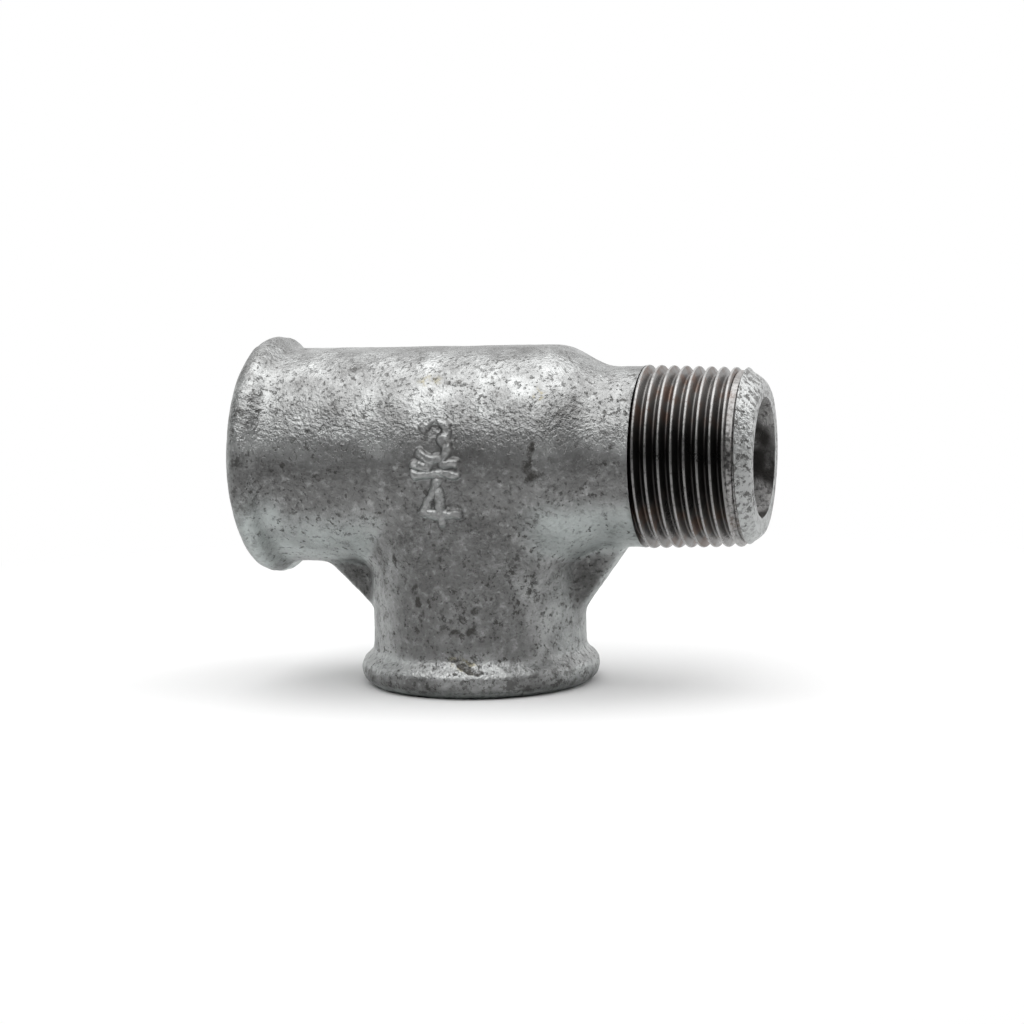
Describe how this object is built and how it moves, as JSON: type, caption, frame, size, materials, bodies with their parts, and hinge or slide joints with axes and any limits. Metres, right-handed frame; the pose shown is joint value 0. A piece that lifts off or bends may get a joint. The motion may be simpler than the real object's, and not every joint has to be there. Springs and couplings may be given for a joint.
{
  "type": "pipe tee",
  "caption": "Galvanised cast iron pipe tee with beaded threaded sockets on the run and the branch, webs in the corners, and a tapered male thread on the far end of the run.",
  "frame": {"origin": "centre of the branch mouth, on the flat face that the tee stands on", "axes": "+Z along the branch axis from its mouth towards the run, +X along the run towards the male end"},
  "size_m": [0.076, 0.0354, 0.051],
  "materials": {
    "galvanised_iron": "hot-dip galvanised rough casting",
    "cut_thread": "bare cut thread, darkened, with bright crests"
  },
  "bodies": {
    "root": {"tee_body": "galvanised_iron"}
  },
  "joints": []
}
